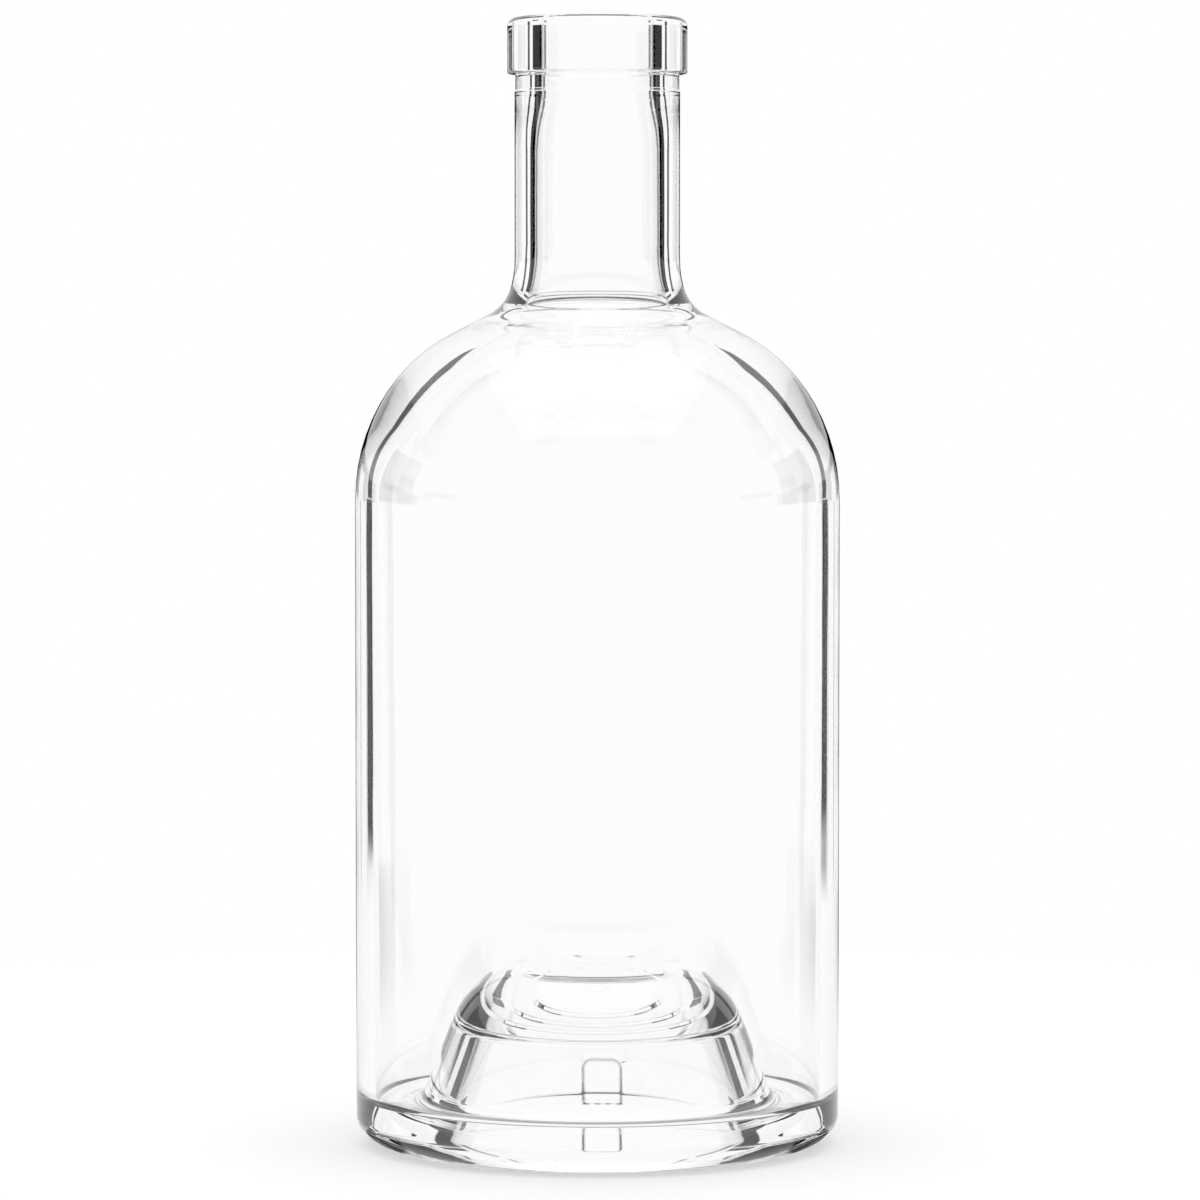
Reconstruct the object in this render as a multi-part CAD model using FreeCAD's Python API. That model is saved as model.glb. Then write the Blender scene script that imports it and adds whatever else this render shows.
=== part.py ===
"""Clear glass spirits bottle: one solid of glass, open at its cork mouth.

The bottle stands on its bearing ring with +Z up, and the origin is the centre of that ring.
Every round stretch of the wall is an arc, and the wall outline is walked from piece to piece
with a pen that keeps its direction, so neighbouring stretches stay tangent when a size changes.
All sizes are in millimetres and all angles in degrees.
"""

import FreeCAD
import Part

import math
import os

# ---- outside ----------------------------------------------------------------------------------
OVERALL_HEIGHT = 211.6
BODY_RADIUS = 45.5

HEEL_LOW_ROUND = 9.4  # the flatter arc that leaves the bearing ring
HEEL_HIGH_ROUND = 3.8  # the tighter arc that runs up into the body
HEEL_MEETING_ANGLE = 46.5  # direction, above level, where the two heel arcs meet

SHOULDER_LOW_ROUND = 36.5  # arc that leaves the straight body
SHOULDER_HIGH_ROUND = 33.0  # arc of the upper shoulder
SHOULDER_MEETING_LEAN = 29.0  # lean from upright where the two shoulder arcs meet
SHOULDER_FLAT = 7.8  # straight stretch between shoulder and neck fillet

NECK_RADIUS = 15.5
NECK_FILLET_ROUND = 8.15  # fillet at the foot of the neck
NECK_EASE_ROUND = 23.2  # gentle start of that fillet
NECK_EASE_LEAN = 13.3  # lean from upright where ease and fillet meet

COLLAR_RADIUS = 16.85
COLLAR_HEIGHT = 10.5
COLLAR_FOOT_ROUND = 0.45  # lower outer edge of the collar
COLLAR_TOP_ROUND = 1.65  # upper outer edge of the collar
COLLAR_SEAT_ROUND = 0.3  # inside corner under the collar
THROAT_HEIGHT = 3.25  # band of the neck ring under the collar
THROAT_RECESS = 0.15  # how far that band stands back from the neck
NECK_LENGTH = 31.0  # upright neck below the neck ring band

# ---- inside -----------------------------------------------------------------------------------
BORE_RADIUS = 10.55
BORE_LIP_ROUND = 1.2
BORE_LENGTH = 14.1  # cork bore, lip included
BORE_FLARE_LEAN = 13.0  # sharp change of direction at the end of the cork bore
BORE_FLARE_ROUND = 46.5  # arc that settles into the neck channel

CHANNEL_FLARE_ROUND = 40.0  # channel opens before the shoulder
CHANNEL_FLARE_LEAN = 18.0
CHANNEL_CORNER_ROUND = 2.0  # tight turn where the neck channel ends
CHANNEL_CORNER_LEAN = 45.0
CHANNEL_STEP = 2.8  # straight stretch after the tight turn
INNER_FILLET_ROUND = 11.4  # arc that leans over into the inner shoulder
INNER_FLAT = 3.7  # straight stretch of the inner shoulder
INNER_HIGH_ROUND = 37.2  # arc of the upper inner shoulder
INNER_LOW_ROUND = 26.0  # arc that runs down into the body's inner wall

WALL_HIGH = 3.0  # body wall at the shoulder
WALL_LOW = 3.65  # body wall at the floor
FLOOR_THICKNESS = 8.8
FLOOR_CORNER_ROUND = 1.6

# ---- punt, the push-up in the base ------------------------------------------------------------
TROUGH_WIDTH = 8.7  # floor between the body wall and the foot of the punt
PUNT_HEIGHT = 33.5
PUNT_FOOT_ROUND = 3.0
PUNT_LEAN = 21.5  # lean of the punt's side
PUNT_HIP_ROUND = 20.7
PUNT_HIP_LEAN = 54.0
PUNT_BROW_ROUND = 7.5

BASE_RING_WIDTH = 16.7  # from the body's outside to the mouth of the hollow
BEARING_WIDTH = 4.8  # flat part of the ring that stands on the table
HOLLOW_MOUTH_RISE = 2.2  # the ring's inner edge is lifted clear of the table
HOLLOW_MOUTH_ROUND = 0.8
HOLLOW_DRAFT = 18.5  # lean of the hollow's side
HOLLOW_CORNER_ROUND = 2.0
CROWN_THICKNESS = 11.2  # glass over the hollow
RING_INNER_RADIUS = 9.0  # three stepped rings pressed into the ceiling of the hollow
RING_MIDDLE_RADIUS = 12.6
RING_OUTER_RADIUS = 15.8
RING_STEP = 0.3

# ---- index slot in the side of the hollow -----------------------------------------------------
SLOT_WIDTH = 8.0
SLOT_HEIGHT = 8.1
SLOT_DEPTH = 1.3
SLOT_TOP_ROUND = 1.8
SLOT_DIRECTION = 88.0  # about Z, from +X, so the slot is at the back
SAME_PLACE = 1e-6  # an edge this close to a plane lies in it


def lean_cos(angle):
    """Cosine of an angle in degrees."""
    return math.cos(math.radians(angle))


def lean_sin(angle):
    """Sine of an angle in degrees."""
    return math.sin(math.radians(angle))


def at(radius, height):
    """Point of the half section that is turned about Z."""
    return FreeCAD.Vector(radius, 0, height)


class Pen:
    """Walks the half section and collects its edges.

    The heading is in degrees: 0 points away from the axis, 90 points up.
    """

    def __init__(self, radius, height, heading):
        self.radius, self.height, self.heading = radius, height, heading
        self.edges = []

    def run(self, length):
        """Draws a straight stretch in the current heading."""
        self.run_to(
            self.radius + length * lean_cos(self.heading),
            self.height + length * lean_sin(self.heading),
        )

    def run_to(self, radius, height):
        """Draws a straight stretch to a point, and keeps the heading."""
        start, end = at(self.radius, self.height), at(radius, height)
        self.edges.append(Part.LineSegment(start, end).toShape())
        self.radius, self.height = radius, height

    def turn(self, arc_radius, heading):
        """Draws an arc that leaves in the current heading and ends in the given one."""
        side = 1 if heading > self.heading else -1
        centre_radius = self.radius - side * arc_radius * lean_sin(self.heading)
        centre_height = self.height + side * arc_radius * lean_cos(self.heading)
        points = []
        for share in (0.5, 1.0):
            way = self.heading + share * (heading - self.heading)
            points.append(
                (
                    centre_radius + side * arc_radius * lean_sin(way),
                    centre_height - side * arc_radius * lean_cos(way),
                )
            )
        start, middle, end = at(self.radius, self.height), at(*points[0]), at(*points[1])
        self.edges.append(Part.Arc(start, middle, end).toShape())
        self.radius, self.height = points[1]
        self.heading = heading


def meeting_lean(radial_run, straight, rounds):
    """Lean at which a straight stretch and the two arcs beside it span a radial run.

    It solves straight * sin(lean) - rounds * cos(lean) = radial_run, where rounds is the sum of
    the two arcs' radii.
    """
    reach = math.hypot(straight, rounds)
    return math.degrees(math.asin(radial_run / reach) + math.atan2(rounds, straight))


def outer_lean():
    """Lean of the outer shoulder's straight stretch."""
    fixed = (
        NECK_EASE_ROUND * (1 - lean_cos(NECK_EASE_LEAN))
        + NECK_FILLET_ROUND * lean_cos(NECK_EASE_LEAN)
        + SHOULDER_LOW_ROUND * (1 - lean_cos(SHOULDER_MEETING_LEAN))
        + SHOULDER_HIGH_ROUND * lean_cos(SHOULDER_MEETING_LEAN)
    )
    radial_run = BODY_RADIUS - NECK_RADIUS - fixed
    return meeting_lean(radial_run, SHOULDER_FLAT, NECK_FILLET_ROUND + SHOULDER_HIGH_ROUND)


def channel_radius():
    """Radius of the neck channel below the cork bore."""
    return BORE_RADIUS + BORE_FLARE_ROUND * (1 - lean_cos(BORE_FLARE_LEAN))


def inner_lean():
    """Lean of the inner shoulder's straight stretch."""
    fixed = (
        CHANNEL_FLARE_ROUND * (1 - lean_cos(CHANNEL_FLARE_LEAN))
        + CHANNEL_CORNER_ROUND * (lean_cos(CHANNEL_FLARE_LEAN) - lean_cos(CHANNEL_CORNER_LEAN))
        + CHANNEL_STEP * lean_sin(CHANNEL_CORNER_LEAN)
        + INNER_FILLET_ROUND * lean_cos(CHANNEL_CORNER_LEAN)
        + INNER_LOW_ROUND * (1 - lean_cos(SHOULDER_MEETING_LEAN))
        + INNER_HIGH_ROUND * lean_cos(SHOULDER_MEETING_LEAN)
    )
    radial_run = BODY_RADIUS - WALL_HIGH - channel_radius() - fixed
    return meeting_lean(radial_run, INNER_FLAT, INNER_FILLET_ROUND + INNER_HIGH_ROUND)


def shoulder_start():
    """Height at which the outer shoulder leaves the straight body."""
    lean = outer_lean()
    shoulder = (
        SHOULDER_LOW_ROUND * lean_sin(SHOULDER_MEETING_LEAN)
        + SHOULDER_HIGH_ROUND * (lean_sin(lean) - lean_sin(SHOULDER_MEETING_LEAN))
        + SHOULDER_FLAT * lean_cos(lean)
        + NECK_FILLET_ROUND * (lean_sin(lean) - lean_sin(NECK_EASE_LEAN))
        + NECK_EASE_ROUND * lean_sin(NECK_EASE_LEAN)
    )
    return OVERALL_HEIGHT - COLLAR_HEIGHT - THROAT_HEIGHT - NECK_LENGTH - shoulder


def bearing_radius():
    """Outer radius of the flat ring that stands on the table."""
    heel_width = (
        HEEL_LOW_ROUND * lean_sin(HEEL_MEETING_ANGLE)
        + HEEL_HIGH_ROUND * (1 - lean_sin(HEEL_MEETING_ANGLE))
    )
    return BODY_RADIUS - heel_width


def draw_outside(pen):
    """Draws the bearing ring, heel, body, shoulder, neck and collar, up to the lip."""
    pen.run_to(bearing_radius(), 0)
    pen.heading = 0
    pen.turn(HEEL_LOW_ROUND, HEEL_MEETING_ANGLE)
    pen.turn(HEEL_HIGH_ROUND, 90)
    pen.run_to(BODY_RADIUS, shoulder_start())
    pen.turn(SHOULDER_LOW_ROUND, 90 + SHOULDER_MEETING_LEAN)
    pen.turn(SHOULDER_HIGH_ROUND, 90 + outer_lean())
    pen.run(SHOULDER_FLAT)
    pen.turn(NECK_FILLET_ROUND, 90 + NECK_EASE_LEAN)
    pen.turn(NECK_EASE_ROUND, 90)
    draw_finish(pen)


def draw_finish(pen):
    """Draws the upright neck, the recessed throat band and the collar, up to the lip."""
    collar_foot = OVERALL_HEIGHT - COLLAR_HEIGHT
    throat_radius = NECK_RADIUS - THROAT_RECESS
    throat_foot = collar_foot - THROAT_HEIGHT
    pen.run_to(NECK_RADIUS, throat_foot)
    pen.run_to(throat_radius, throat_foot + THROAT_RECESS)
    pen.run_to(throat_radius, collar_foot - COLLAR_SEAT_ROUND)
    pen.heading = 90
    pen.turn(COLLAR_SEAT_ROUND, 0)
    pen.run_to(COLLAR_RADIUS - COLLAR_FOOT_ROUND, collar_foot)
    pen.turn(COLLAR_FOOT_ROUND, 90)
    pen.run_to(COLLAR_RADIUS, OVERALL_HEIGHT - COLLAR_TOP_ROUND)
    pen.turn(COLLAR_TOP_ROUND, 180)
    pen.run_to(BORE_RADIUS + BORE_LIP_ROUND, OVERALL_HEIGHT)


def draw_channel(pen):
    """Draws the lip, the cork bore and the channel of the neck, down to the inner shoulder."""
    lean = inner_lean()
    below_channel = (
        CHANNEL_FLARE_ROUND * lean_sin(CHANNEL_FLARE_LEAN)
        + CHANNEL_CORNER_ROUND * (lean_sin(CHANNEL_CORNER_LEAN) - lean_sin(CHANNEL_FLARE_LEAN))
        + CHANNEL_STEP * lean_cos(CHANNEL_CORNER_LEAN)
        + INNER_FILLET_ROUND * (lean_sin(lean) - lean_sin(CHANNEL_CORNER_LEAN))
        + INNER_FLAT * lean_cos(lean)
        + INNER_HIGH_ROUND * (lean_sin(lean) - lean_sin(SHOULDER_MEETING_LEAN))
        + INNER_LOW_ROUND * lean_sin(SHOULDER_MEETING_LEAN)
    )
    pen.turn(BORE_LIP_ROUND, 270)
    pen.run_to(BORE_RADIUS, OVERALL_HEIGHT - BORE_LENGTH)
    pen.heading = 270 + BORE_FLARE_LEAN
    pen.turn(BORE_FLARE_ROUND, 270)
    pen.run_to(channel_radius(), shoulder_start() + below_channel)
    pen.turn(CHANNEL_FLARE_ROUND, 270 + CHANNEL_FLARE_LEAN)
    pen.turn(CHANNEL_CORNER_ROUND, 270 + CHANNEL_CORNER_LEAN)
    pen.run(CHANNEL_STEP)
    pen.turn(INNER_FILLET_ROUND, 270 + lean)
    pen.run(INNER_FLAT)
    pen.turn(INNER_HIGH_ROUND, 270 + SHOULDER_MEETING_LEAN)
    pen.turn(INNER_LOW_ROUND, 270)


def draw_inside(pen):
    """Draws the inner wall, the floor and the upper face of the punt, to the axis."""
    draw_channel(pen)
    wall_foot = FLOOR_THICKNESS + FLOOR_CORNER_ROUND
    floor_radius = BODY_RADIUS - WALL_LOW
    pen.run_to(floor_radius, wall_foot)
    pen.heading = 270
    pen.turn(FLOOR_CORNER_ROUND, 180)
    foot_radius = floor_radius - TROUGH_WIDTH
    side_heading = 90 + PUNT_LEAN
    # the foot fillet starts on the floor and turns from level to the punt's side
    foot_reach = PUNT_FOOT_ROUND * math.tan(math.radians(45 - PUNT_LEAN / 2))
    pen.run_to(foot_radius + foot_reach, FLOOR_THICKNESS)
    pen.turn(PUNT_FOOT_ROUND, side_heading)
    arcs_height = (
        PUNT_HIP_ROUND * (lean_sin(PUNT_HIP_LEAN) - lean_sin(PUNT_LEAN))
        + PUNT_BROW_ROUND * (1 - lean_sin(PUNT_HIP_LEAN))
    )
    pen.run((PUNT_HEIGHT - arcs_height - pen.height) / lean_cos(PUNT_LEAN))
    pen.turn(PUNT_HIP_ROUND, 90 + PUNT_HIP_LEAN)
    pen.turn(PUNT_BROW_ROUND, 180)
    pen.run_to(0, PUNT_HEIGHT)


def draw_hollow(pen):
    """Draws the ringed ceiling and the side of the hollow, down to the bearing ring."""
    ceiling = PUNT_HEIGHT - CROWN_THICKNESS
    pen.run_to(0, ceiling)
    for ring_radius in (RING_INNER_RADIUS, RING_MIDDLE_RADIUS, RING_OUTER_RADIUS):
        pen.run_to(ring_radius, ceiling)
        ceiling -= RING_STEP
        pen.run_to(ring_radius + RING_STEP, ceiling)
    mouth_radius = BODY_RADIUS - BASE_RING_WIDTH
    draft = math.tan(math.radians(HOLLOW_DRAFT))
    corner_radius = mouth_radius - (ceiling - HOLLOW_MOUTH_RISE) * draft
    corner_reach = HOLLOW_CORNER_ROUND * math.tan(math.radians(45 - HOLLOW_DRAFT / 2))
    pen.heading = 0
    pen.run_to(corner_radius - corner_reach, ceiling)
    pen.turn(HOLLOW_CORNER_ROUND, -90 + HOLLOW_DRAFT)
    mouth_reach = HOLLOW_MOUTH_ROUND * math.tan(math.radians(45 - HOLLOW_DRAFT / 2))
    pen.run_to(
        mouth_radius - mouth_reach * lean_sin(HOLLOW_DRAFT),
        HOLLOW_MOUTH_RISE + mouth_reach * lean_cos(HOLLOW_DRAFT),
    )
    pen.turn(HOLLOW_MOUTH_ROUND, 0)


def bottle_section():
    """Closed half section of the glass."""
    pen = Pen(0, PUNT_HEIGHT, 0)
    draw_hollow(pen)
    pen.run_to(bearing_radius() - BEARING_WIDTH, 0)
    draw_outside(pen)
    draw_inside(pen)
    return Part.Face(Part.Wire(pen.edges))


def index_slot():
    """Tool that cuts the arched index slot into the hollow's side, as deep at its top as at its foot.

    It is a block with rounded top corners that leans with the side, and its foot is open.
    """
    reach = SLOT_HEIGHT / 2
    overrun = HOLLOW_MOUTH_RISE * 2
    corner = FreeCAD.Vector(-reach, -SLOT_WIDTH / 2, -overrun)
    block = Part.makeBox(reach + SLOT_DEPTH, SLOT_WIDTH, overrun + SLOT_HEIGHT, corner)
    upper_edges = [
        edge
        for edge in block.Edges
        if abs(edge.CenterOfMass.z - SLOT_HEIGHT) < SAME_PLACE
        and abs(abs(edge.CenterOfMass.y) - SLOT_WIDTH / 2) < SAME_PLACE
    ]
    block = block.makeFillet(SLOT_TOP_ROUND, upper_edges)
    origin = FreeCAD.Vector(0, 0, 0)
    block.rotate(origin, FreeCAD.Vector(0, 1, 0), -HOLLOW_DRAFT)
    block.translate(FreeCAD.Vector(BODY_RADIUS - BASE_RING_WIDTH, 0, HOLLOW_MOUTH_RISE))
    block.rotate(origin, FreeCAD.Vector(0, 0, 1), SLOT_DIRECTION)
    return block


def bottle():
    """The whole bottle as one solid."""
    glass = bottle_section().revolve(FreeCAD.Vector(0, 0, 0), FreeCAD.Vector(0, 0, 1), 360)
    return glass.cut(index_slot())


def main():
    """Writes the bottle's STEP file."""
    os.makedirs("parts", exist_ok=True)
    glass = bottle()
    solids = glass.Solids
    assert len(solids) == 1 and solids[0].isValid(), "the glass is one valid solid"
    solids[0].exportStep("parts/bottle.step")
    print("volume of glass, ml:", round(solids[0].Volume / 1000, 1))
    print("shoulder starts at", round(shoulder_start(), 2))
    print("leans", round(outer_lean(), 2), round(inner_lean(), 2))


main()
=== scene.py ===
"""Looks of a clear glass spirits bottle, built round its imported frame.

The bottle is one turned shell of flint glass. Its half section is walked by a pen whose straight
stretches and arcs stay tangent, and a Geometry Nodes lathe turns it about Z. The lathe also gives
the glass what a mould leaves: ripples on the blown inner wall, knurling on the bearing ring, and
the index slot in the side of the hollow. The studio is a bright field: white ahead of the lens
and behind the bottle, with dark flags between, which draw the edges of the glass.

All lengths are in metres and all angles in degrees.
"""

import logging
import math
from dataclasses import dataclass, field
from enum import Enum

import bpy
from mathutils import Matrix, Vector


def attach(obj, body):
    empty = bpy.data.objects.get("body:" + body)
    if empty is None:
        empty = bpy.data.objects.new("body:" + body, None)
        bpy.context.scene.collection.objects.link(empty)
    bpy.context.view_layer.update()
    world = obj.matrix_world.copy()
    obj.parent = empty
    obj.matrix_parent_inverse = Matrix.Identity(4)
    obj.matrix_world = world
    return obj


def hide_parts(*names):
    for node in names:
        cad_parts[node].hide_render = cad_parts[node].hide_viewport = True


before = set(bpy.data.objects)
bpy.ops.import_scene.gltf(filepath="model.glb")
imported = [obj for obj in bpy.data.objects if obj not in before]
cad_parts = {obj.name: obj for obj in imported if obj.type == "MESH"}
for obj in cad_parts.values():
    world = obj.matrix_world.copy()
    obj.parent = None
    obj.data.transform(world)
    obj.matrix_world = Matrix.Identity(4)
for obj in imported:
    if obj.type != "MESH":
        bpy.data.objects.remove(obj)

NODE = "bottle"
BODY = "root"
MM = 0.001
HALF = 0.5
WHITE = (1.0, 1.0, 1.0, 1.0)
# point attribute that masks the painted shade on the index slot's steep sides
STEEP = "steep"
LIGHT_BOUNCES = 32
OUT, UP, IN, DOWN = 0, 90, 180, 270

log = logging.getLogger("glass_bottle")


class Skin(Enum):
    """Stretches of the half section that the mould or the air finishes in their own way."""

    OUTSIDE = "outside"
    INSIDE = "inside"
    BEARING = "bearing"
    HOLLOW = "hollow"


def cosine(angle: float) -> float:
    """Cosine of an angle in degrees."""
    return math.cos(math.radians(angle))


def sine(angle: float) -> float:
    """Sine of an angle in degrees."""
    return math.sin(math.radians(angle))


def tangent(angle: float) -> float:
    """Tangent of an angle in degrees."""
    return math.tan(math.radians(angle))


def round_reach(lean: float) -> float:
    """How far from its corner a round of radius 1 begins, between level and a leaning side."""
    return tangent(45 - lean / 2)


def meeting_lean(radial_run: float, straight: float, rounds: float) -> float:
    """Lean at which a straight stretch and the arcs beside it span a radial run.

    Args:
        radial_run: distance to cross, away from the axis.
        straight: length of the straight stretch between the arcs.
        rounds: sum of the two arcs' radii.

    Returns:
        The lean from upright, in degrees.
    """
    reach = math.hypot(straight, rounds)
    return math.degrees(math.asin(radial_run / reach) + math.atan2(rounds, straight))


@dataclass
class SectionPen:
    """Walks the half section and keeps its points, each with the skin it belongs to.

    The heading is in degrees: OUT points away from the axis and UP points up. Points stand at most
    a run step apart, and closer where a straight stretch begins or ends. Arcs put one down for
    each turn step, or small turn step where their radius is below the small round.
    """

    radius: float
    height: float
    heading: float = 0.0
    skin: Skin = Skin.HOLLOW
    turn_step: float = 5.0
    small_round: float = 3.0 * MM
    small_turn_step: float = 10.0
    run_step: float = 8.0 * MM
    end_step: float = 0.25 * MM
    growth: float = 2.2
    least_run: float = 1e-9
    points: list[tuple[float, float, Skin]] = field(default_factory=list)

    def __post_init__(self) -> None:
        """Puts the first point down."""
        self.points.append((self.radius, self.height, self.skin))

    def mark(self, radius: float, height: float) -> None:
        """Puts one point down and moves there.

        Args:
            radius: distance from the axis.
            height: height over the table.
        """
        self.radius, self.height = radius, height
        self.points.append((radius, height, self.skin))

    def stations(self, length: float) -> list[float]:
        """Distances along a straight stretch, close together at both ends.

        Args:
            length: length of the stretch.

        Returns:
            Rising distances, the last of which is the length itself.
        """
        near, step = [], self.end_step
        reach = 0.0
        while reach + step < length / 2 and step < self.run_step:
            reach += step
            near.append(reach)
            step *= self.growth
        middle = max(1, math.ceil((length - 2 * reach) / self.run_step))
        inner = [reach + (length - 2 * reach) * i / middle for i in range(1, middle)]
        far = [length - distance for distance in reversed(near)]
        return near + inner + far + [length]

    def run(self, length: float) -> None:
        """Draws a straight stretch in the current heading.

        Args:
            length: length of the stretch.
        """
        start = (self.radius, self.height)
        for distance in self.stations(length):
            self.mark(
                start[0] + distance * cosine(self.heading),
                start[1] + distance * sine(self.heading),
            )

    def run_to(self, radius: float, height: float) -> None:
        """Draws a straight stretch to a point, and heads along it.

        Args:
            radius: the point's distance from the axis.
            height: the point's height over the table.
        """
        away, up = radius - self.radius, height - self.height
        length = math.hypot(away, up)
        if length > self.least_run:
            self.heading = math.degrees(math.atan2(up, away)) % 360
            self.run(length)

    def turn(self, arc_radius: float, heading: float) -> None:
        """Draws an arc that leaves in the current heading and ends in another.

        Args:
            arc_radius: radius of the arc.
            heading: heading at the arc's end.
        """
        side = 1 if heading > self.heading else -1
        centre_radius = self.radius - side * arc_radius * sine(self.heading)
        centre_height = self.height + side * arc_radius * cosine(self.heading)
        sweep = heading - self.heading
        chord = arc_radius * math.radians(abs(sweep))
        turn_step = self.small_turn_step if arc_radius < self.small_round else self.turn_step
        steps = max(2, math.ceil(abs(sweep) / turn_step), math.ceil(chord / self.run_step))
        start = self.heading
        for step in range(1, steps + 1):
            way = start + sweep * step / steps
            self.mark(
                centre_radius + side * arc_radius * sine(way),
                centre_height - side * arc_radius * cosine(way),
            )
        self.heading = heading


class TreeMaker:
    """Adds nodes to a tree and joins them, so that a tree reads as a list of steps."""

    def __init__(self, tree: bpy.types.NodeTree) -> None:
        """Keeps the tree that is being made."""
        self.tree = tree

    def add(
        self, kind: str, inputs: dict[str | int, object] | None = None, **settings: object
    ) -> bpy.types.Node:
        """Adds a node.

        Args:
            kind: the node's class name.
            inputs: values or sockets for its inputs, by name or place.
            settings: values for its properties.

        Returns:
            The node.
        """
        node = self.tree.nodes.new(kind)
        for key, value in settings.items():
            setattr(node, key, value)
        for key, value in (inputs or {}).items():
            self.feed(node.inputs[key], value)
        return node

    def feed(self, socket: bpy.types.NodeSocket, value: object) -> None:
        """Gives an input a value, or joins it to another node's output.

        Args:
            socket: the input.
            value: the value, or the other node's output.
        """
        if isinstance(value, bpy.types.NodeSocket):
            self.tree.links.new(value, socket)
        else:
            socket.default_value = value

    def math(self, operation: str, *values: object) -> bpy.types.NodeSocket:
        """Works out one sum.

        Args:
            operation: the Math node's operation.
            values: its numbers or sockets.

        Returns:
            The result's socket.
        """
        node = self.add("ShaderNodeMath", dict(enumerate(values)), operation=operation)
        return node.outputs[0]

    def product(self, first: object, *others: object) -> bpy.types.NodeSocket:
        """Multiplies numbers or sockets, from first to last.

        Args:
            first: the first factor.
            others: the factors after it.

        Returns:
            The product's socket.
        """
        product = first
        for other in others:
            product = self.math("MULTIPLY", product, other)
        return product

    def hypotenuse(self, first: object, second: object) -> bpy.types.NodeSocket:
        """Gives the long side over two sides at right angles."""
        squares = self.math("ADD", self.product(first, first), self.product(second, second))
        return self.math("SQRT", squares)

    def spot(self) -> bpy.types.NodeSocket:
        """Gives the place of each point."""
        return self.add("GeometryNodeInputPosition").outputs[0]

    def parts(self, vector: bpy.types.NodeSocket) -> bpy.types.NodeOutputs:
        """Takes a vector apart into X, Y and Z."""
        return self.add("ShaderNodeSeparateXYZ", {0: vector}).outputs

    def attribute(self, name: str) -> bpy.types.NodeSocket:
        """Reads a number that each point carries."""
        node = self.add("GeometryNodeInputNamedAttribute", {"Name": name}, data_type="FLOAT")
        return node.outputs["Attribute"]

    def mix(self, share: object, first: object, second: object) -> bpy.types.NodeSocket:
        """Goes from the first number to the second as the share goes from 0 to 1."""
        node = self.add("ShaderNodeMix", {0: share, 2: first, 3: second}, data_type="FLOAT")
        return node.outputs[0]

    def smooth_step(self, value: object, low: object, high: object) -> bpy.types.NodeSocket:
        """Rises smoothly from 0 to 1 as a value goes from low to high.

        Args:
            value: the value.
            low: where the rise begins. It may lie above the high, and the rise is then a fall.
            high: where the rise ends.

        Returns:
            The result's socket.
        """
        node = self.add(
            "ShaderNodeMapRange",
            {"Value": value, "From Min": low, "From Max": high},
            interpolation_type="SMOOTHSTEP",
        )
        return node.outputs["Result"]


@dataclass(frozen=True)
class FlintGlass:
    """Colourless container glass, polished by the flame.

    Where a point's steepness is 1, the glass takes the steep painted shade, near black, which
    draws the sides of the index slot as dark lines, in place of the shade that refraction gives.
    """

    name: str = "flint_glass"
    tint: tuple[float, float, float, float] = (0.985, 0.988, 0.985, 1.0)
    steep_painted_shade: tuple[float, float, float, float] = (0.03, 0.03, 0.03, 1.0)
    refraction: float = 1.52
    roughness: float = 0.0
    transmission: float = 1.0

    def material(self) -> bpy.types.Material:
        """Makes the glass.

        Returns:
            The material.
        """
        glass = bpy.data.materials.new(self.name)
        glass.use_nodes = True
        shader = glass.node_tree.nodes["Principled BSDF"]
        make = TreeMaker(glass.node_tree)
        steep = make.add("ShaderNodeAttribute")
        steep.attribute_name = STEEP
        # painted shade: the glass turns near black where the slot's sides are steep
        colour = make.add("ShaderNodeMix", data_type="RGBA")
        colour.inputs["A"].default_value = self.tint
        colour.inputs["B"].default_value = self.steep_painted_shade
        make.feed(colour.inputs["Factor"], steep.outputs["Fac"])
        make.feed(shader.inputs["Base Color"], colour.outputs["Result"])
        shader.inputs["Roughness"].default_value = self.roughness
        shader.inputs["IOR"].default_value = self.refraction
        shader.inputs["Transmission Weight"].default_value = self.transmission
        return glass


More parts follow.
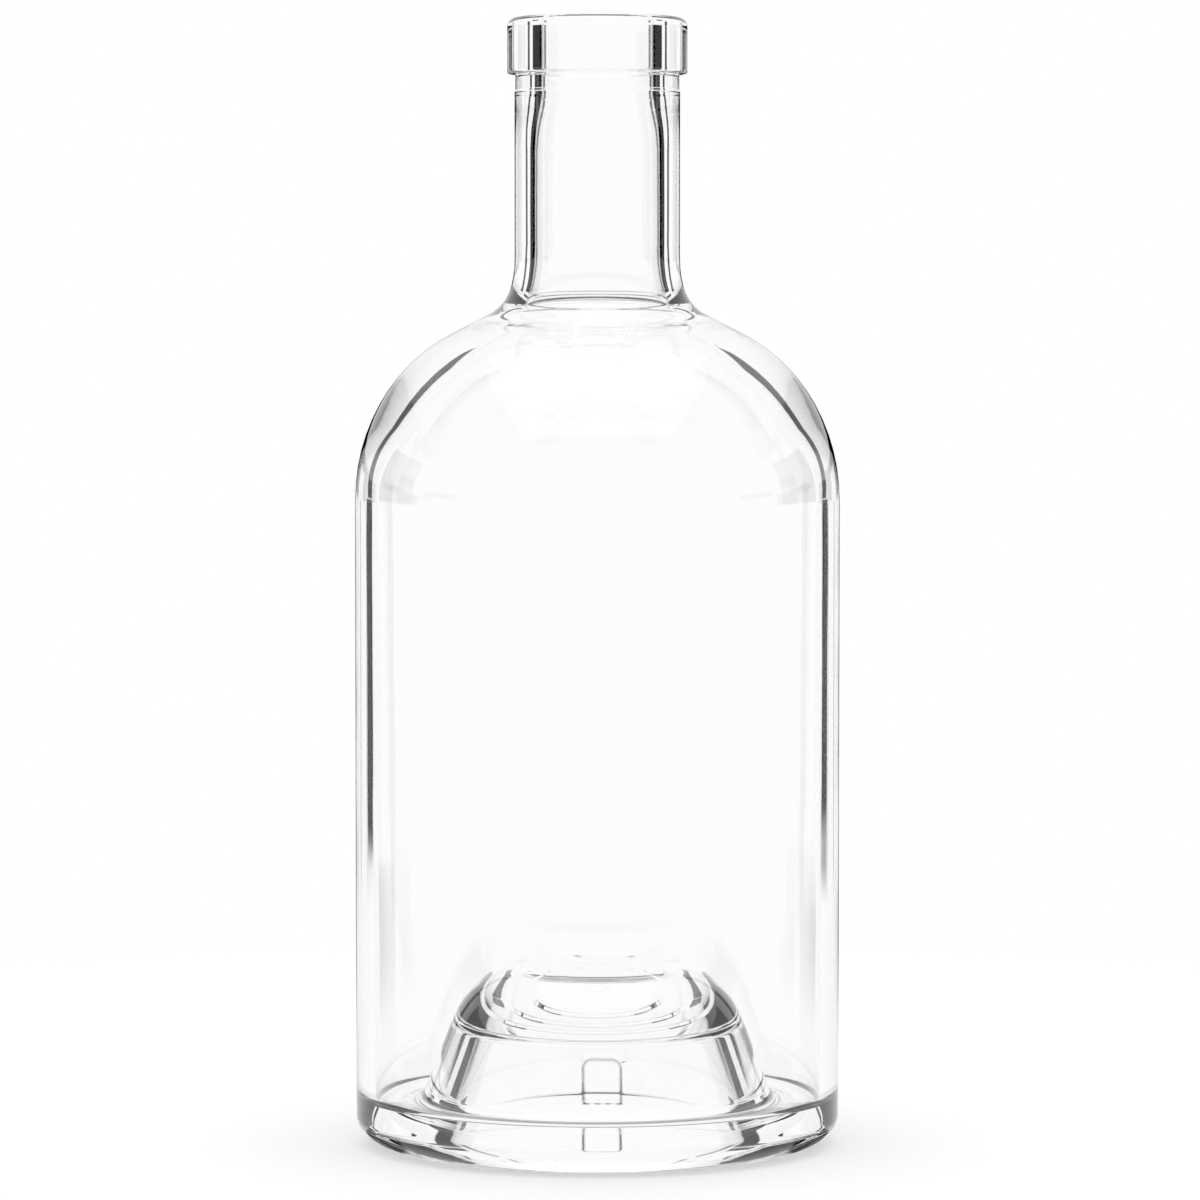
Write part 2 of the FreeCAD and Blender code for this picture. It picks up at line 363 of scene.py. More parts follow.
@dataclass
class Lathe:
    """Geometry Nodes that turn a half section about Z and give the glass its mould marks.

    The gather draws the columns together at the slot. The weld is the distance within which
    points are one, which closes the shell at its seam and at the axis.
    """

    columns: int = 248
    gather: float = 0.55
    weld: float = 0.001 * MM
    ripple_depth: float = 0.015 * MM
    ripple_size: float = 14.0 * MM
    ripple_seed: float = 3.7
    ripple_detail: float = 1.0
    ripple_gain: float = 4.0
    knurl_count: int = 90
    knurl_depth: float = 0.12 * MM
    slot_direction: float = 88.0
    slot_width: float = 8.0 * MM
    slot_top: float = 9.9 * MM
    slot_round: float = 1.8 * MM
    slot_depth: float = 1.3 * MM
    slot_edge: float = 0.5 * MM
    steep_gain: float = 4.0

    def inputs(self) -> dict[str, float | int]:
        """Sizes that the tree takes, by the names of its inputs."""
        return {
            "Columns": self.columns,
            "Gather": self.gather,
            "Ripple Depth": self.ripple_depth,
            "Ripple Size": self.ripple_size,
            "Ripple Seed": self.ripple_seed,
            "Knurl Count": float(self.knurl_count),
            "Knurl Depth": self.knurl_depth,
            "Slot Direction": math.radians(self.slot_direction),
            "Slot Width": self.slot_width,
            "Slot Top": self.slot_top,
            "Slot Round": self.slot_round,
            "Slot Depth": self.slot_depth,
            "Slot Edge": self.slot_edge,
        }

    def tree(self) -> bpy.types.NodeTree:
        """Builds the tree: turn, close, ripple, knurl, cut the slot, set the material.

        Returns:
            The node tree, with a named input for each size.
        """
        group = bpy.data.node_groups.new("glass_lathe", "GeometryNodeTree")
        face = group.interface
        face.new_socket("Geometry", in_out="INPUT", socket_type="NodeSocketGeometry")
        for name, value in self.inputs().items():
            kind = "NodeSocketInt" if isinstance(value, int) else "NodeSocketFloat"
            face.new_socket(name, in_out="INPUT", socket_type=kind).default_value = value
        face.new_socket("Glass", in_out="INPUT", socket_type="NodeSocketMaterial")
        face.new_socket("Geometry", in_out="OUTPUT", socket_type="NodeSocketGeometry")
        make = TreeMaker(group)
        given = make.add("NodeGroupInput").outputs
        turned = self.turn(make, given)
        rippled = self.ripple(make, given, turned)
        marked = self.mark(make, given, rippled)
        smooth = make.add("GeometryNodeSetShadeSmooth", {"Geometry": marked})
        real = make.add("GeometryNodeRealizeInstances", {"Geometry": smooth.outputs[0]})
        dressed = make.add(
            "GeometryNodeSetMaterial", {"Geometry": real.outputs[0], "Material": given["Glass"]}
        )
        make.add("NodeGroupOutput", {"Geometry": dressed.outputs[0]})
        return group

    def turn(self, make: TreeMaker, given: bpy.types.NodeOutputs) -> bpy.types.NodeSocket:
        """Wraps a grid round Z: a row for each point of the section, a column for each angle.

        Args:
            make: the tree's maker.
            given: the tree's inputs.

        Returns:
            The closed shell.
        """
        size = make.add(
            "GeometryNodeAttributeDomainSize", {"Geometry": given["Geometry"]}, component="MESH"
        )
        rows = size.outputs["Point Count"]
        lines = make.math("ADD", given["Columns"], 1)
        grid = make.add(
            "GeometryNodeMeshGrid",
            {"Size X": 1.0, "Size Y": 1.0, "Vertices X": lines, "Vertices Y": rows},
        )
        index = make.add("GeometryNodeInputIndex").outputs[0]
        row = make.math("MODULO", index, rows)
        column = make.math("FLOOR", make.math("DIVIDE", make.math("ADD", index, HALF), rows))
        share = make.math("DIVIDE", column, given["Columns"])
        even = make.product(share, math.tau)
        swing = make.product(make.math("SINE", even), given["Gather"])
        angle = make.math("ADD", make.math("SUBTRACT", even, swing), given["Slot Direction"])
        point = make.add(
            "GeometryNodeSampleIndex",
            {"Geometry": given["Geometry"], "Value": make.spot(), "Index": row},
            data_type="FLOAT_VECTOR",
        )
        radius, _, height = make.parts(point.outputs[0])
        across = make.product(radius, make.math("COSINE", angle))
        deep = make.product(radius, make.math("SINE", angle))
        wrapped = make.add("ShaderNodeCombineXYZ", {"X": across, "Y": deep, "Z": height})
        shell = make.add(
            "GeometryNodeSetPosition",
            {"Geometry": grid.outputs["Mesh"], "Position": wrapped.outputs[0]},
        ).outputs[0]
        for skin in Skin:
            amount = make.add(
                "GeometryNodeSampleIndex",
                {"Geometry": given["Geometry"], "Value": make.attribute(skin.value), "Index": row},
                data_type="FLOAT",
            )
            shell = make.add(
                "GeometryNodeStoreNamedAttribute",
                {"Geometry": shell, "Name": skin.value, "Value": amount.outputs[0]},
                data_type="FLOAT",
                domain="POINT",
            ).outputs[0]
        closed = make.add("GeometryNodeMergeByDistance", {"Geometry": shell, "Distance": self.weld})
        return closed.outputs[0]

    def ripple(
        self, make: TreeMaker, given: bpy.types.NodeOutputs, shell: bpy.types.NodeSocket
    ) -> bpy.types.NodeSocket:
        """Lets the blown inner wall wander a little along its normal.

        Args:
            make: the tree's maker.
            given: the tree's inputs.
            shell: the turned shell.

        Returns:
            The rippled shell.
        """
        noise = make.add(
            "ShaderNodeTexNoise",
            {
                "Vector": make.spot(),
                "W": given["Ripple Seed"],
                "Scale": make.math("DIVIDE", 1.0, given["Ripple Size"]),
                "Detail": self.ripple_detail,
            },
            noise_dimensions="4D",
        )
        swell = make.math("SUBTRACT", noise.outputs[0], HALF)
        inside = make.attribute(Skin.INSIDE.value)
        amount = make.product(swell, self.ripple_gain, given["Ripple Depth"], inside)
        normal = make.add("GeometryNodeInputNormal").outputs[0]
        offset = make.add("ShaderNodeVectorMath", {0: normal, 3: amount}, operation="SCALE")
        moved = make.add("GeometryNodeSetPosition", {"Geometry": shell, "Offset": offset.outputs[0]})
        return moved.outputs[0]

    def mark(
        self, make: TreeMaker, given: bpy.types.NodeOutputs, shell: bpy.types.NodeSocket
    ) -> bpy.types.NodeSocket:
        """Cuts the knurling into the bearing ring and the index slot into the hollow's side.

        Args:
            make: the tree's maker.
            given: the tree's inputs.
            shell: the rippled shell.

        Returns:
            The marked shell, whose points carry how steep the slot's sides are there, the mask
            of the glass's painted shade.
        """
        x, y, z = make.parts(make.spot())
        angle = make.math("ARCTAN2", y, x)
        radius = make.hypotenuse(x, y)
        wave = make.math("COSINE", make.product(angle, given["Knurl Count"]))
        groove = make.product(make.math("ADD", wave, 1.0), HALF)
        rise = make.product(groove, given["Knurl Depth"], make.attribute(Skin.BEARING.value))
        apart = make.math("SUBTRACT", angle, given["Slot Direction"])
        arc = make.product(make.math("WRAP", apart, math.pi, -math.pi), radius)
        cut = self.slot_cut(make, given, make.math("ABSOLUTE", arc), z)
        hollow = make.attribute(Skin.HOLLOW.value)
        push = make.product(cut, given["Slot Depth"], hollow)
        outwards = make.math("DIVIDE", push, make.math("MAXIMUM", radius, self.weld))
        offset = make.add(
            "ShaderNodeCombineXYZ",
            {"X": make.product(x, outwards), "Y": make.product(y, outwards), "Z": rise},
        )
        moved = make.add("GeometryNodeSetPosition", {"Geometry": shell, "Offset": offset.outputs[0]})
        # how steep the slot's sides are: the mask where the glass paints near-black shade
        slope = make.product(cut, make.math("SUBTRACT", 1.0, cut), self.steep_gain)
        noted = make.add(
            "GeometryNodeStoreNamedAttribute",
            {"Geometry": moved.outputs[0], "Name": STEEP, "Value": make.product(slope, hollow)},
            data_type="FLOAT",
            domain="POINT",
        )
        return noted.outputs[0]

    def slot_cut(
        self,
        make: TreeMaker,
        given: bpy.types.NodeOutputs,
        sideways: bpy.types.NodeSocket,
        height: bpy.types.NodeSocket,
    ) -> bpy.types.NodeSocket:
        """Is 1 in the index slot and 0 beside it, with soft edges and round upper corners.

        Args:
            make: the tree's maker.
            given: the tree's inputs.
            sideways: distance from the slot's middle, along the hollow's side.
            height: height over the table.

        Returns:
            The socket.
        """
        half_width = make.product(given["Slot Width"], HALF)
        past_side = make.math(
            "SUBTRACT", sideways, make.math("SUBTRACT", half_width, given["Slot Round"])
        )
        past_top = make.math(
            "SUBTRACT", height, make.math("SUBTRACT", given["Slot Top"], given["Slot Round"])
        )
        corner = make.hypotenuse(
            make.math("MAXIMUM", past_side, 0.0), make.math("MAXIMUM", past_top, 0.0)
        )
        within = make.math("MINIMUM", make.math("MAXIMUM", past_side, past_top), 0.0)
        gap = make.math("SUBTRACT", make.math("ADD", corner, within), given["Slot Round"])
        inner_edge = make.product(given["Slot Edge"], -1.0)
        return make.smooth_step(make.product(gap, -1.0), inner_edge, given["Slot Edge"])


@dataclass
class BottleGlass:
    """The bottle: outside, inner wall, punt and hollow as one closed shell of glass."""

    overall_height: float = 211.6 * MM
    body_radius: float = 45.5 * MM
    heel_low_round: float = 9.4 * MM
    heel_high_round: float = 3.8 * MM
    heel_meeting_angle: float = 46.5
    shoulder_low_round: float = 36.5 * MM
    shoulder_high_round: float = 33.0 * MM
    shoulder_meeting_lean: float = 29.0
    shoulder_flat: float = 7.8 * MM
    neck_radius: float = 15.5 * MM
    neck_fillet_round: float = 8.15 * MM
    neck_ease_round: float = 23.2 * MM
    neck_ease_lean: float = 13.3
    neck_length: float = 31.0 * MM
    throat_height: float = 3.25 * MM
    throat_recess: float = 0.15 * MM
    collar_radius: float = 16.85 * MM
    collar_height: float = 10.5 * MM
    collar_foot_round: float = 0.45 * MM
    collar_top_round: float = 1.65 * MM
    collar_seat_round: float = 0.3 * MM
    bore_radius: float = 10.55 * MM
    bore_lip_round: float = 1.2 * MM
    bore_length: float = 14.1 * MM
    bore_flare_lean: float = 13.0
    bore_flare_round: float = 46.5 * MM
    channel_flare_round: float = 40.0 * MM
    channel_flare_lean: float = 18.0
    channel_corner_round: float = 2.0 * MM
    channel_corner_lean: float = 45.0
    channel_step: float = 2.8 * MM
    inner_fillet_round: float = 11.4 * MM
    inner_flat: float = 3.7 * MM
    inner_high_round: float = 37.2 * MM
    inner_low_round: float = 26.0 * MM
    wall_high: float = 3.0 * MM
    wall_low: float = 3.65 * MM
    floor_thickness: float = 8.8 * MM
    floor_corner_round: float = 1.6 * MM
    trough_width: float = 8.7 * MM
    punt_height: float = 33.5 * MM
    punt_foot_round: float = 3.0 * MM
    punt_lean: float = 21.5
    punt_hip_round: float = 20.7 * MM
    punt_hip_lean: float = 54.0
    punt_brow_round: float = 7.5 * MM
    inner_run_step: float = 4.0 * MM
    base_ring_width: float = 16.7 * MM
    bearing_width: float = 4.8 * MM
    hollow_mouth_rise: float = 2.2 * MM
    hollow_mouth_round: float = 0.8 * MM
    hollow_draft: float = 18.5
    hollow_corner_round: float = 2.0 * MM
    slot_run_step: float = 0.45 * MM
    crown_thickness: float = 11.2 * MM
    ring_radii: tuple[float, ...] = (9.0 * MM, 12.6 * MM, 15.8 * MM)
    ring_step: float = 0.3 * MM
    lathe: Lathe = field(default_factory=Lathe)
    finish: FlintGlass = field(default_factory=FlintGlass)

    def shoulder_start(self) -> float:
        """Works out where the shoulder leaves the straight body.

        Returns:
            The height.
        """
        lean = self.outer_lean()
        shoulder = (
            self.shoulder_low_round * sine(self.shoulder_meeting_lean)
            + self.shoulder_high_round * (sine(lean) - sine(self.shoulder_meeting_lean))
            + self.shoulder_flat * cosine(lean)
            + self.neck_fillet_round * (sine(lean) - sine(self.neck_ease_lean))
            + self.neck_ease_round * sine(self.neck_ease_lean)
        )
        top = self.overall_height - self.collar_height - self.throat_height
        return top - self.neck_length - shoulder

    def outer_lean(self) -> float:
        """Works out how the outer shoulder's straight stretch leans.

        Returns:
            The lean from upright, in degrees.
        """
        fixed = (
            self.neck_ease_round * (1 - cosine(self.neck_ease_lean))
            + self.neck_fillet_round * cosine(self.neck_ease_lean)
            + self.shoulder_low_round * (1 - cosine(self.shoulder_meeting_lean))
            + self.shoulder_high_round * cosine(self.shoulder_meeting_lean)
        )
        radial_run = self.body_radius - self.neck_radius - fixed
        rounds = self.neck_fillet_round + self.shoulder_high_round
        return meeting_lean(radial_run, self.shoulder_flat, rounds)

    def channel_radius(self) -> float:
        """Radius of the neck's channel below the cork bore."""
        return self.bore_radius + self.bore_flare_round * (1 - cosine(self.bore_flare_lean))

    def inner_lean(self) -> float:
        """Works out how the inner shoulder's straight stretch leans.

        Returns:
            The lean from upright, in degrees.
        """
        fixed = (
            self.channel_flare_round * (1 - cosine(self.channel_flare_lean))
            + self.channel_corner_round
            * (cosine(self.channel_flare_lean) - cosine(self.channel_corner_lean))
            + self.channel_step * sine(self.channel_corner_lean)
            + self.inner_fillet_round * cosine(self.channel_corner_lean)
            + self.inner_low_round * (1 - cosine(self.shoulder_meeting_lean))
            + self.inner_high_round * cosine(self.shoulder_meeting_lean)
        )
        radial_run = self.body_radius - self.wall_high - self.channel_radius() - fixed
        rounds = self.inner_fillet_round + self.inner_high_round
        return meeting_lean(radial_run, self.inner_flat, rounds)

    def draw_hollow(self, pen: SectionPen) -> None:
        """Draws the ringed ceiling and the side of the hollow, down to the bearing ring.

        Args:
            pen: the pen that walks the half section.
        """
        ceiling = pen.height
        for ring_radius in self.ring_radii:
            pen.run_to(ring_radius, ceiling)
            ceiling -= self.ring_step
            pen.run_to(ring_radius + self.ring_step, ceiling)
        mouth_radius = self.body_radius - self.base_ring_width
        slope = tangent(self.hollow_draft)
        corner_radius = mouth_radius - (ceiling - self.hollow_mouth_rise) * slope
        corner_reach = self.hollow_corner_round * round_reach(self.hollow_draft)
        pen.run_to(corner_radius - corner_reach, ceiling)
        side_heading = self.hollow_draft - UP
        pen.turn(self.hollow_corner_round, side_heading)
        reach = self.hollow_mouth_round * round_reach(self.hollow_draft)
        plain_step = pen.run_step
        pen.run_step = self.slot_run_step
        pen.run_to(
            mouth_radius - reach * sine(self.hollow_draft),
            self.hollow_mouth_rise + reach * cosine(self.hollow_draft),
        )
        pen.run_step = plain_step
        pen.heading = side_heading
        pen.turn(self.hollow_mouth_round, OUT)

    def draw_outside(self, pen: SectionPen) -> None:
        """Draws the bearing ring, heel, body, shoulder, neck and collar, up to the lip.

        Args:
            pen: the pen that walks the half section.
        """
        heel_width = self.heel_low_round * sine(self.heel_meeting_angle) + self.heel_high_round * (
            1 - sine(self.heel_meeting_angle)
        )
        bearing_radius = self.body_radius - heel_width
        pen.run_to(bearing_radius - self.bearing_width, 0)
        pen.skin = Skin.BEARING
        pen.run_to(bearing_radius, 0)
        pen.skin = Skin.OUTSIDE
        pen.heading = OUT
        pen.turn(self.heel_low_round, self.heel_meeting_angle)
        pen.turn(self.heel_high_round, UP)
        pen.run_to(self.body_radius, self.shoulder_start())
        pen.turn(self.shoulder_low_round, UP + self.shoulder_meeting_lean)
        pen.turn(self.shoulder_high_round, UP + self.outer_lean())
        pen.run(self.shoulder_flat)
        pen.turn(self.neck_fillet_round, UP + self.neck_ease_lean)
        pen.turn(self.neck_ease_round, UP)
        self.draw_finish(pen)

    def draw_finish(self, pen: SectionPen) -> None:
        """Draws the neck, the recessed throat band and the collar, up to the lip.

        Args:
            pen: the pen that walks the half section.
        """
        collar_foot = self.overall_height - self.collar_height
        throat_radius = self.neck_radius - self.throat_recess
        throat_foot = collar_foot - self.throat_height
        pen.run_to(self.neck_radius, throat_foot)
        pen.run_to(throat_radius, throat_foot + self.throat_recess)
        pen.run_to(throat_radius, collar_foot - self.collar_seat_round)
        pen.heading = UP
        pen.turn(self.collar_seat_round, OUT)
        pen.run_to(self.collar_radius - self.collar_foot_round, collar_foot)
        pen.heading = OUT
        pen.turn(self.collar_foot_round, UP)
        pen.run_to(self.collar_radius, self.overall_height - self.collar_top_round)
        pen.turn(self.collar_top_round, IN)
        pen.run_to(self.bore_radius + self.bore_lip_round, self.overall_height)

    def draw_channel(self, pen: SectionPen) -> None:
        """Draws the lip, the cork bore and the neck's channel, down to the inner shoulder.

        Args:
            pen: the pen that walks the half section.
        """
        lean = self.inner_lean()
        below_channel = (
            self.channel_flare_round * sine(self.channel_flare_lean)
            + self.channel_corner_round
            * (sine(self.channel_corner_lean) - sine(self.channel_flare_lean))
            + self.channel_step * cosine(self.channel_corner_lean)
            + self.inner_fillet_round * (sine(lean) - sine(self.channel_corner_lean))
            + self.inner_flat * cosine(lean)
            + self.inner_high_round * (sine(lean) - sine(self.shoulder_meeting_lean))
            + self.inner_low_round * sine(self.shoulder_meeting_lean)
        )
        pen.heading = IN
        pen.turn(self.bore_lip_round, DOWN)
        pen.run_to(self.bore_radius, self.overall_height - self.bore_length)
        pen.heading = DOWN + self.bore_flare_lean
        pen.turn(self.bore_flare_round, DOWN)
        pen.skin = Skin.INSIDE
        pen.run_to(self.channel_radius(), self.shoulder_start() + below_channel)
        pen.turn(self.channel_flare_round, DOWN + self.channel_flare_lean)
        pen.turn(self.channel_corner_round, DOWN + self.channel_corner_lean)
        pen.run(self.channel_step)
        pen.turn(self.inner_fillet_round, DOWN + lean)
        pen.run(self.inner_flat)
        pen.turn(self.inner_high_round, DOWN + self.shoulder_meeting_lean)
        pen.turn(self.inner_low_round, DOWN)

    def draw_inside(self, pen: SectionPen) -> None:
        """Draws the inner wall, the floor and the upper face of the punt, to the axis.

        Args:
            pen: the pen that walks the half section.
        """
        pen.run_step = self.inner_run_step
        self.draw_channel(pen)
        floor_radius = self.body_radius - self.wall_low
        pen.run_to(floor_radius, self.floor_thickness + self.floor_corner_round)
        pen.heading = DOWN
        pen.turn(self.floor_corner_round, IN)
        foot_radius = floor_radius - self.trough_width
        foot_reach = self.punt_foot_round * round_reach(self.punt_lean)
        pen.run_to(foot_radius + foot_reach, self.floor_thickness)
        pen.heading = IN
        pen.turn(self.punt_foot_round, UP + self.punt_lean)
        arcs_height = self.punt_hip_round * (
            sine(self.punt_hip_lean) - sine(self.punt_lean)
        ) + self.punt_brow_round * (1 - sine(self.punt_hip_lean))
        pen.run((self.punt_height - arcs_height - pen.height) / cosine(self.punt_lean))
        pen.turn(self.punt_hip_round, UP + self.punt_hip_lean)
        pen.turn(self.punt_brow_round, IN)
        pen.run_to(0, self.punt_height)

    def section(self) -> bpy.types.Object:
        """Makes the half section, as a chain of points that carry their skins.

        Returns:
            An object that holds the chain.
        """
        pen = SectionPen(0, self.punt_height - self.crown_thickness)
        self.draw_hollow(pen)
        self.draw_outside(pen)
        self.draw_inside(pen)
        chain = bpy.data.meshes.new("glass_bottle")
        places = [(radius, 0, height) for radius, height, _ in pen.points]
        chain.from_pydata(places, [(i, i + 1) for i in range(len(places) - 1)], [])
        for skin in Skin:
            amounts = chain.attributes.new(skin.value, "FLOAT", "POINT")
            amounts.data.foreach_set("value", [float(own is skin) for _, _, own in pen.points])
        log.info("half section: %d points", len(places))
        piece = bpy.data.objects.new("glass_bottle", chain)
        bpy.context.scene.collection.objects.link(piece)
        return piece

    def build(self) -> bpy.types.Object:
        """Turns the half section into the bottle and dresses it.

        Returns:
            The finished piece, which rides on the body and stands for the CAD node.
        """
        piece = self.section()
        tree = self.lathe.tree()
        turning = piece.modifiers.new("lathe", "NODES")
        turning.node_group = tree
        items = tree.interface.items_tree
        sockets = {item.name: item.identifier for item in items if item.in_out == "INPUT"}
        for name, value in self.lathe.inputs().items():
            turning[sockets[name]] = value
        glass = self.finish.material()
        turning[sockets["Glass"]] = glass
        turned = bake(piece)
        turned.materials.clear()
        turned.materials.append(glass)
        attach(piece, BODY)
        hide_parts(NODE)
        return piece


def bake(piece: bpy.types.Object) -> bpy.types.Mesh:
    """Turns what a piece's modifiers show into its own plain mesh.

    Args:
        piece: the object, whose modifiers are removed.

    Returns:
        The new mesh.
    """
    shown = piece.evaluated_get(bpy.context.evaluated_depsgraph_get())
    mesh = bpy.data.meshes.new_from_object(shown)
    mesh.name = piece.name
    piece.modifiers.clear()
    piece.data = mesh
    return mesh


@dataclass(frozen=True)
class Flag:
    """A dark card of the studio, as the glass sees it.

    Turns are taken from the far side of the bottle, +Y, to either hand, and tilts from level.
    The lean is how far the card's turns move for each degree of tilt.
    """

    turns: tuple[float, float]
    tilts: tuple[float, float]
    lean: float = 0.0
    soft_edge: float = 0.8

    def shade(
        self, make: TreeMaker, turn: bpy.types.NodeSocket, tilt: bpy.types.NodeSocket
    ) -> bpy.types.NodeSocket:
        """Is 1 in the card and 0 beside it, with soft edges.

        Args:
            make: the tree's maker.
            turn: the ray's turn, in degrees.
            tilt: the ray's tilt, in degrees.

        Returns:
            The socket.
        """
        sides = []
        leaned = make.math("SUBTRACT", turn, make.product(tilt, self.lean))
        for angle, (low, high) in ((leaned, self.turns), (tilt, self.tilts)):
            sides.append(make.smooth_step(angle, low, low + self.soft_edge))
            sides.append(make.smooth_step(angle, high, high - self.soft_edge))
        across = make.product(sides[0], sides[1])
        upright = make.product(sides[2], sides[3])
        return make.product(across, upright)


@dataclass(frozen=True)
class Sky:
    """The studio's surroundings: a white field, with the dark flags that draw the glass.

    Rays that come through the glass meet the one set of flags, and rays that its faces mirror meet
    the other. Whatever looks at the surroundings past the glass sees plain white.
    """

    bright: float = 1.0
    dark: float = 0.0
    through: tuple[Flag, ...] = (
        Flag((31.0, 39.5), (-6.8, -1.0)),
        Flag((47.0, 78.0), (-1.8, 23.0)),
        Flag((32.8, 39.8), (-1.4, 34.0), lean=-0.33),
        Flag((45.0, 62.0), (-12.0, -6.3)),
        Flag((-1.0, 66.0), (-36.0, -24.0)),
    )
    gloss: tuple[Flag, ...] = (
        Flag((-1.0, 11.0), (-8.3, -1.0)),
        Flag((25.5, 28.0), (-6.3, -1.0)),
        Flag((36.0, 46.0), (-6.3, -1.0)),
        Flag((-1.0, 22.0), (-1.8, 4.2)),
        Flag((31.0, 50.0), (-1.8, 2.9)),
        Flag((70.0, 86.0), (-1.8, 2.9)),
        Flag((20.0, 40.0), (1.8, 4.2)),
        Flag((57.0, 76.0), (1.8, 4.2)),
        Flag((89.0, 110.0), (1.8, 4.2)),
    )

    def world(self) -> bpy.types.World:
        """Makes the surroundings.

        Returns:
            The world.
        """
        world = bpy.data.worlds.new("studio")
        world.use_nodes = True
        world.node_tree.nodes.clear()
        make = TreeMaker(world.node_tree)
        x, y, z = make.parts(make.add("ShaderNodeTexCoord").outputs["Generated"])
        turn = make.math("DEGREES", make.math("ARCTAN2", make.math("ABSOLUTE", x), y))
        tilt = make.math("DEGREES", make.math("ARCSINE", z))
        rays = make.add("ShaderNodeLightPath").outputs
        through, gloss = (
            self.any_of(make, [flag.shade(make, turn, tilt) for flag in flags])
            for flags in (self.through, self.gloss)
        )
        flag = make.mix(rays["Is Reflection Ray"], through, gloss)
        plain = make.math("MAXIMUM", rays["Is Camera Ray"], rays["Is Diffuse Ray"])
        shade = make.product(flag, make.math("SUBTRACT", 1.0, plain))
        level = make.mix(shade, self.bright, self.dark)
        light = make.add("ShaderNodeBackground", {"Color": WHITE, "Strength": level})
        make.add("ShaderNodeOutputWorld", {"Surface": light.outputs[0]})
        return world

    def any_of(self, make: TreeMaker, shades: list[bpy.types.NodeSocket]) -> bpy.types.NodeSocket:
        """Takes the strongest of several shades.

        Args:
            make: the tree's maker.
            shades: the shades' sockets.

        Returns:
            The strongest shade's socket.
        """
        strongest = shades[0]
        for shade in shades[1:]:
            strongest = make.math("MAXIMUM", strongest, shade)
        return strongest


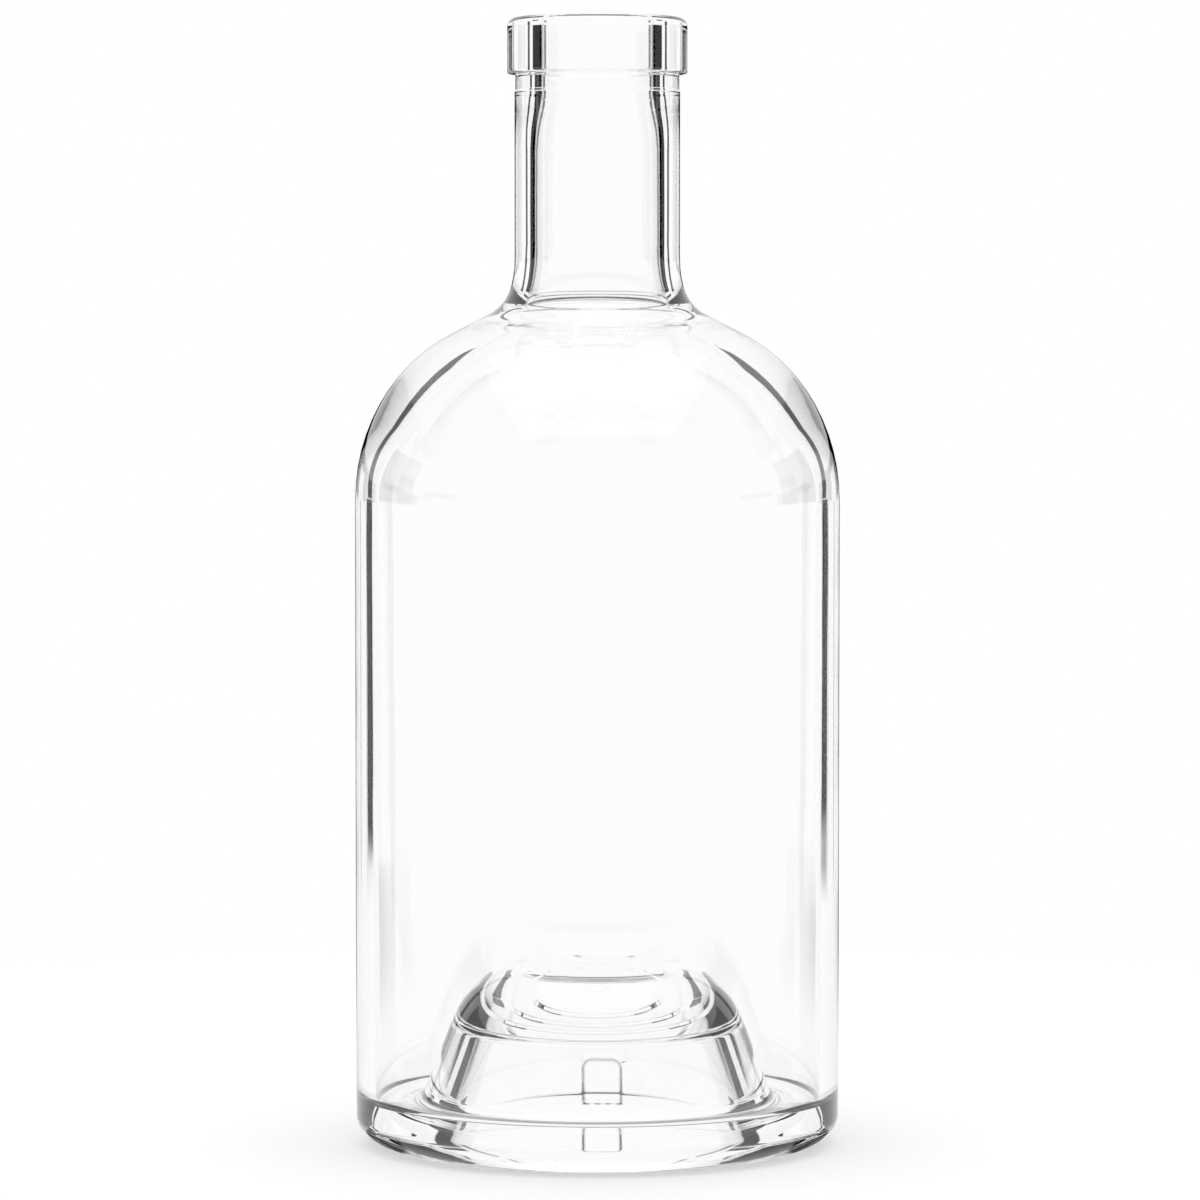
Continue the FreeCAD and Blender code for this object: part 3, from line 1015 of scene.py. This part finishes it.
@dataclass
class Studio:
    """Floor, overhead light and surroundings.

    The glass sees painted shade on the floor: a painted contact shadow, a darker ring under the
    front of the heel, and a dark patch of painted shade at either side.
    """

    floor_radius: float = 0.34
    floor_sides: int = 96
    floor_solid: float = 0.12
    floor_glow: float = 0.4
    floor_roughness: float = 1.0
    floor_shine: float = 0.0
    painted_contact_shadow: tuple[float, float] = (0.031, 0.0365)
    painted_shade_edge: float = 0.002
    contact_front: float = 0.012
    contact_shade: float = 0.6
    painted_side_across: tuple[float, float] = (0.037, 0.056)
    painted_side_deep: tuple[float, float] = (-0.022, -0.002)
    painted_side_shade: float = 0.92
    lamp_height: float = 1.2
    lamp_size: float = 1.2
    lamp_power: float = 3.0
    sky: Sky = field(default_factory=Sky)

    def floor_material(self) -> bpy.types.Material:
        """Makes white paper that keeps the bottle's shadow and thins out to nothing at its rim.

        The glass sees it glow, darkened by a painted contact shadow and painted side shade.

        Returns:
            The material.
        """
        paper = bpy.data.materials.new("pale_floor")
        paper.use_nodes = True
        shader = paper.node_tree.nodes["Principled BSDF"]
        shader.inputs["Roughness"].default_value = self.floor_roughness
        shader.inputs["Specular IOR Level"].default_value = self.floor_shine
        shader.inputs["Emission Color"].default_value = WHITE
        make = TreeMaker(paper.node_tree)
        place = make.add("ShaderNodeTexCoord").outputs["Object"]
        away = make.add("ShaderNodeVectorMath", {0: place}, operation="LENGTH").outputs["Value"]
        thin = make.smooth_step(away, self.floor_solid, self.floor_radius)
        make.feed(shader.inputs["Alpha"], make.math("SUBTRACT", 1.0, thin))
        rays = make.add("ShaderNodeLightPath").outputs
        lit = make.math("MAXIMUM", rays["Is Transmission Ray"], rays["Is Glossy Ray"])
        # painted shade: glass and gloss rays see the floor glow, darker at the painted contact
        # shadow and side patches
        seen = make.math("SUBTRACT", 1.0, self.painted_floor_shade(make, place, away))
        make.feed(shader.inputs["Emission Strength"], make.mix(lit, self.floor_glow, seen))
        paper_share = make.product(make.math("SUBTRACT", 1.0, lit), 1.0 - self.floor_glow)
        make.feed(shader.inputs["Base Color"], paper_share)
        return paper

    def painted_floor_shade(
        self, make: TreeMaker, place: bpy.types.NodeSocket, away: bpy.types.NodeSocket
    ) -> bpy.types.NodeSocket:
        """Works out the glass's view of painted shade on the floor: contact shadow and side patches.

        Args:
            make: the tree's maker.
            place: place on the floor.
            away: distance from the bottle's axis.

        Returns:
            The shade's socket.
        """
        # painted contact shadow: a darker ring under the front of the heel
        ring = self.span(make, away, self.painted_contact_shadow)
        across, deep, _ = make.parts(place)
        front = make.smooth_step(deep, 0.0, -self.contact_front)
        # painted shade: a dark patch at either side of the bottle
        beside = self.span(make, make.math("ABSOLUTE", across), self.painted_side_across)
        side_shade = make.product(beside, self.span(make, deep, self.painted_side_deep))
        return make.math(
            "MAXIMUM",
            make.product(ring, front, self.contact_shade),
            make.product(side_shade, self.painted_side_shade),
        )

    def span(
        self, make: TreeMaker, place: bpy.types.NodeSocket, reach: tuple[float, float]
    ) -> bpy.types.NodeSocket:
        """Is 1 between two distances and 0 beside them, with soft edges.

        Args:
            make: the tree's maker.
            place: the distance to judge.
            reach: the near and the far distance.

        Returns:
            The socket.
        """
        near, far = reach
        rise = make.smooth_step(place, near - self.painted_shade_edge, near)
        return make.product(rise, make.smooth_step(place, far + self.painted_shade_edge, far))

    def build(self) -> None:
        """Lays the floor and lights the studio."""
        bpy.ops.mesh.primitive_circle_add(
            vertices=self.floor_sides, radius=self.floor_radius, fill_type="NGON"
        )
        floor = bpy.context.object
        floor.name = "floor"
        floor.data.materials.append(self.floor_material())
        lamp = bpy.data.lights.new("overhead", "AREA")
        lamp.size = self.lamp_size
        lamp.energy = self.lamp_power
        overhead = bpy.data.objects.new("overhead", lamp)
        overhead.location = (0, 0, self.lamp_height)
        bpy.context.scene.collection.objects.link(overhead)
        bpy.context.scene.world = self.sky.world()


@dataclass
class Eye:
    """The camera: a long lens a little over a metre away, at the height of the neck."""

    distance: float = 1033.3 * MM
    height: float = 156.8 * MM
    aim: float = 102.5 * MM
    aside: float = 0.5 * MM
    lens: float = 165.0
    sensor: float = 36.0

    def build(self) -> None:
        """Makes the camera and hands it to the scene."""
        data = bpy.data.cameras.new("eye")
        data.lens = self.lens
        data.sensor_width = self.sensor
        camera = bpy.data.objects.new("eye", data)
        camera.location = Vector((self.aside, -self.distance, self.height))
        look = Vector((self.aside, 0, self.aim)) - camera.location
        camera.rotation_euler = look.to_track_quat("-Z", "Y").to_euler()
        bpy.context.scene.collection.objects.link(camera)
        bpy.context.scene.camera = camera


def main() -> None:
    """Builds the camera, the bottle and the studio."""
    logging.basicConfig(level=logging.INFO, format="%(name)s: %(message)s")
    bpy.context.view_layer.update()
    Eye().build()
    piece = BottleGlass().build()
    log.info("%s: %d faces", piece.name, len(piece.data.polygons))
    Studio().build()
    scene = bpy.context.scene
    scene.view_settings.view_transform = "Standard"
    scene.cycles.max_bounces = LIGHT_BOUNCES
    scene.cycles.transmission_bounces = LIGHT_BOUNCES


if __name__ == "__main__":
    main()
